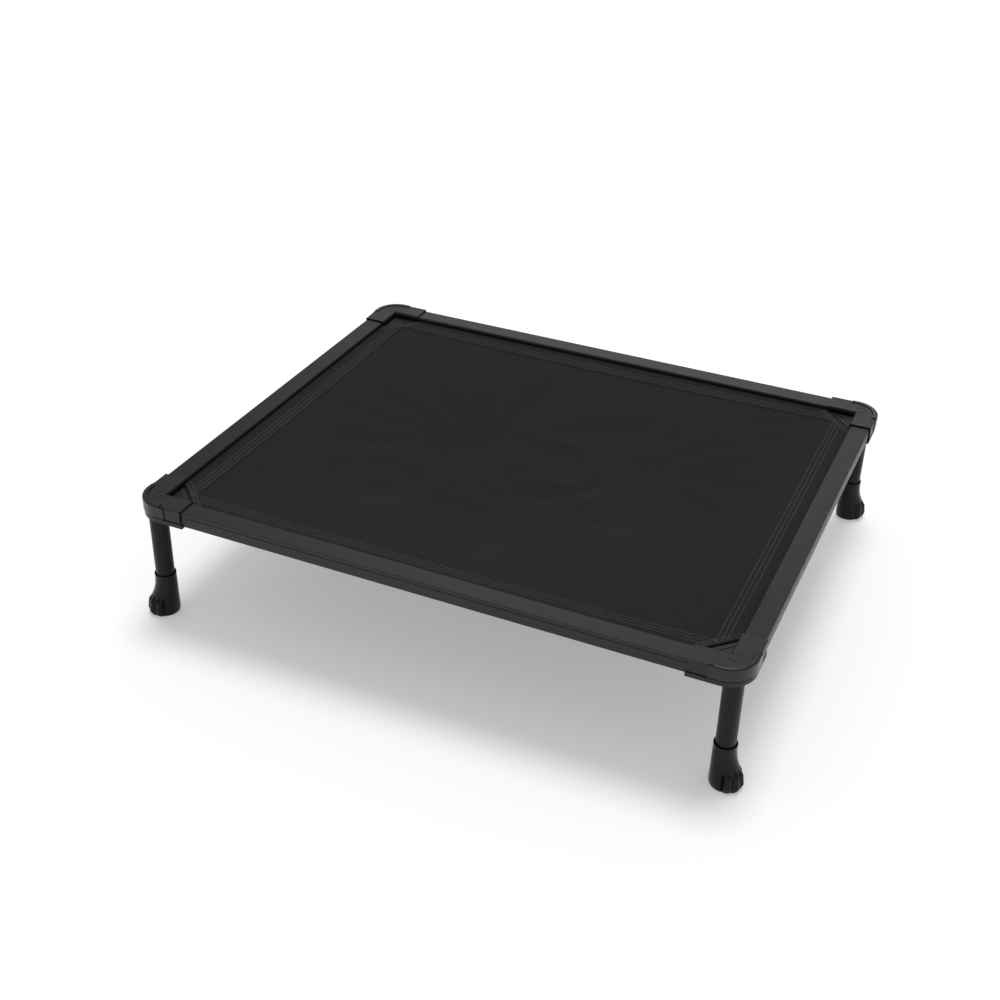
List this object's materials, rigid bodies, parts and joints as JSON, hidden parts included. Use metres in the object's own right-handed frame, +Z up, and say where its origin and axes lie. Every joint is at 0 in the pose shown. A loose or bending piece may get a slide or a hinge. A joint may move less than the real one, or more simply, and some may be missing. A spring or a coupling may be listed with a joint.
{
  "type": "raised dog bed",
  "caption": "Raised dog bed: slotted rail frame with moulded corners, stretched fabric sling and screw-in legs on paw-shaped rubber feet.",
  "frame": {"origin": "on the floor under the middle of the bed, midway between the four legs", "axes": "+X along the long rails to the right, +Y to the back, +Z up; -Y is the front"},
  "size_m": [0.8536, 0.7206, 0.1873],
  "materials": {
    "rail_coat": "satin black powder coat",
    "corner_plastic": "fine moulded texture",
    "bumper_plastic": "satin",
    "insert_plastic": "glass-filled nylon",
    "rod_plastic": "extruded",
    "sling_fabric": "matte fine woven",
    "leg_coat": "satin black powder coat",
    "foot_rubber": "satin rubber",
    "screw_steel": "zinc plated",
    "stud_steel": "zinc plated",
    "nut_brass": "plain turned"
  },
  "bodies": {
    "frame": {"rail_front": "rail_coat", "sling_rod_front": "rod_plastic", "rail_back": "rail_coat", "sling_rod_back": "rod_plastic", "rail_left": "rail_coat", "sling_rod_left": "rod_plastic", "rail_right": "rail_coat", "sling_rod_right": "rod_plastic", "sling": "sling_fabric", "corner_cap_front_left": "corner_plastic", "corner_bumper_front_left": "bumper_plastic", "corner_plate_front_left": "corner_plastic", "corner_insert_front_left": "insert_plastic", "corner_screws_front_left": "screw_steel", "leg_nut_front_left": "nut_brass", "corner_cap_front_right": "corner_plastic", "corner_bumper_front_right": "bumper_plastic", "corner_plate_front_right": "corner_plastic", "corner_insert_front_right": "insert_plastic", "corner_screws_front_right": "screw_steel", "leg_nut_front_right": "nut_brass", "corner_cap_back_right": "corner_plastic", "corner_bumper_back_right": "bumper_plastic", "corner_plate_back_right": "corner_plastic", "corner_insert_back_right": "insert_plastic", "corner_screws_back_right": "screw_steel", "leg_nut_back_right": "nut_brass", "corner_cap_back_left": "corner_plastic", "corner_bumper_back_left": "bumper_plastic", "corner_plate_back_left": "corner_plastic", "corner_insert_back_left": "insert_plastic", "corner_screws_back_left": "screw_steel", "leg_nut_back_left": "nut_brass"},
    "stud_front_left": {"leg_stud_front_left": "stud_steel"},
    "leg_front_left": {"leg_tube_front_left": "leg_coat", "leg_plug_front_left": "insert_plastic", "paw_foot_front_left": "foot_rubber"},
    "stud_front_right": {"leg_stud_front_right": "stud_steel"},
    "leg_front_right": {"leg_tube_front_right": "leg_coat", "leg_plug_front_right": "insert_plastic", "paw_foot_front_right": "foot_rubber"},
    "stud_back_right": {"leg_stud_back_right": "stud_steel"},
    "leg_back_right": {"leg_tube_back_right": "leg_coat", "leg_plug_back_right": "insert_plastic", "paw_foot_back_right": "foot_rubber"},
    "stud_back_left": {"leg_stud_back_left": "stud_steel"},
    "leg_back_left": {"leg_tube_back_left": "leg_coat", "leg_plug_back_left": "insert_plastic", "paw_foot_back_left": "foot_rubber"}
  },
  "joints": [
    {"name": "stud_travel_front_left", "type": "slide", "parent": "frame", "child": "stud_front_left", "axis": [0, 0, -1], "range_m": [0, 0.015]},
    {"name": "leg_unscrew_front_left", "type": "hinge", "parent": "stud_front_left", "child": "leg_front_left", "pos_m": [-0.398, -0.3325, 0.1], "axis": [0, 0, -1], "range_deg": [0, 4321]},
    {"name": "stud_travel_front_right", "type": "slide", "parent": "frame", "child": "stud_front_right", "axis": [0, 0, -1], "range_m": [0, 0.015]},
    {"name": "leg_unscrew_front_right", "type": "hinge", "parent": "stud_front_right", "child": "leg_front_right", "pos_m": [0.398, -0.3325, 0.1], "axis": [0, 0, -1], "range_deg": [0, 4321]},
    {"name": "stud_travel_back_right", "type": "slide", "parent": "frame", "child": "stud_back_right", "axis": [0, 0, -1], "range_m": [0, 0.015]},
    {"name": "leg_unscrew_back_right", "type": "hinge", "parent": "stud_back_right", "child": "leg_back_right", "pos_m": [0.398, 0.3325, 0.1], "axis": [0, 0, -1], "range_deg": [0, 4321]},
    {"name": "stud_travel_back_left", "type": "slide", "parent": "frame", "child": "stud_back_left", "axis": [0, 0, -1], "range_m": [0, 0.015]},
    {"name": "leg_unscrew_back_left", "type": "hinge", "parent": "stud_back_left", "child": "leg_back_left", "pos_m": [-0.398, 0.3325, 0.1], "axis": [0, 0, -1], "range_deg": [0, 4321]}
  ],
  "couplings": [
    {"joint": "leg_unscrew_front_left", "follows": "stud_travel_front_left", "rad_per_m": 5026.5},
    {"joint": "leg_unscrew_front_right", "follows": "stud_travel_front_right", "rad_per_m": 5026.5},
    {"joint": "leg_unscrew_back_right", "follows": "stud_travel_back_right", "rad_per_m": 5026.5},
    {"joint": "leg_unscrew_back_left", "follows": "stud_travel_back_left", "rad_per_m": 5026.5}
  ]
}
